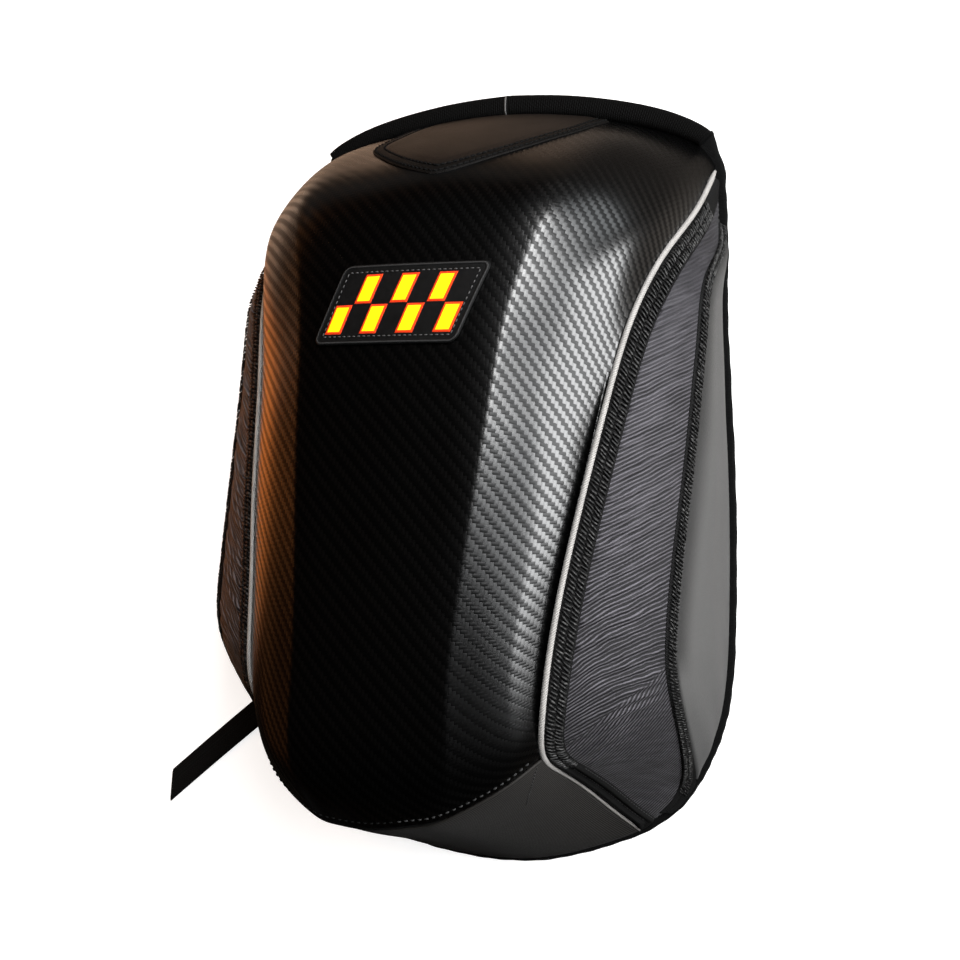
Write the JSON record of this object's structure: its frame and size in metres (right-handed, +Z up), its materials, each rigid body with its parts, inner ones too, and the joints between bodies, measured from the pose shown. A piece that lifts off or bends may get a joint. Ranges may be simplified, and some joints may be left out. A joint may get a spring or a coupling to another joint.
{
  "type": "helmet backpack",
  "caption": "Hard-shell riding backpack lying on its shoulder straps, with a moulded twill-textured front, zipped side gussets, reflective piping and a free strap end.",
  "frame": {"origin": "under the middle of the pack, on the surface that the flattened shoulder straps lie on", "axes": "+X to the wearer's right, +Y to the top of the pack, +Z up, out of the front shell"},
  "size_m": [0.4039, 0.4868, 0.1682],
  "materials": {
    "twill_skin": "black coated skin embossed with a diagonal twill, half gloss",
    "smooth_skin": "smooth black coated skin with a corded stitched border",
    "patch": "black stitched patch with a yellow and red pattern",
    "reflective_piping": "light grey reflective piping",
    "zip_coil": "black zip tape with a nylon coil",
    "ribbed_cloth": "dark grey coated cloth with fine diagonal ribs",
    "plain_cloth": "plain dark grey coated cloth",
    "woven_tape": "black woven tape",
    "mesh_padding": "black air mesh over foam",
    "webbing": "black woven webbing",
    "nylon": "black moulded nylon"
  },
  "bodies": {
    "root": {"shell": "twill_skin", "top_panel": "smooth_skin", "badge": "patch", "piping_right": "reflective_piping", "piping_left": "reflective_piping", "front_zip_right": "zip_coil", "front_zip_left": "zip_coil", "gusset_right": "ribbed_cloth", "gusset_left": "ribbed_cloth", "rear_zip_right": "zip_coil", "rear_zip_left": "zip_coil", "side_wall_right": "plain_cloth", "side_wall_left": "plain_cloth", "bottom_panel": "plain_cloth", "edge_binding": "woven_tape", "collar_band": "woven_tape", "back_panel": "mesh_padding", "shoulder_pad_right": "mesh_padding", "shoulder_pad_left": "mesh_padding", "webbing_right": "webbing", "webbing_left": "webbing", "adjuster_right": "nylon", "adjuster_left": "nylon", "strap_tail_left": "webbing", "strap_tail_right": "webbing"}
  },
  "joints": []
}
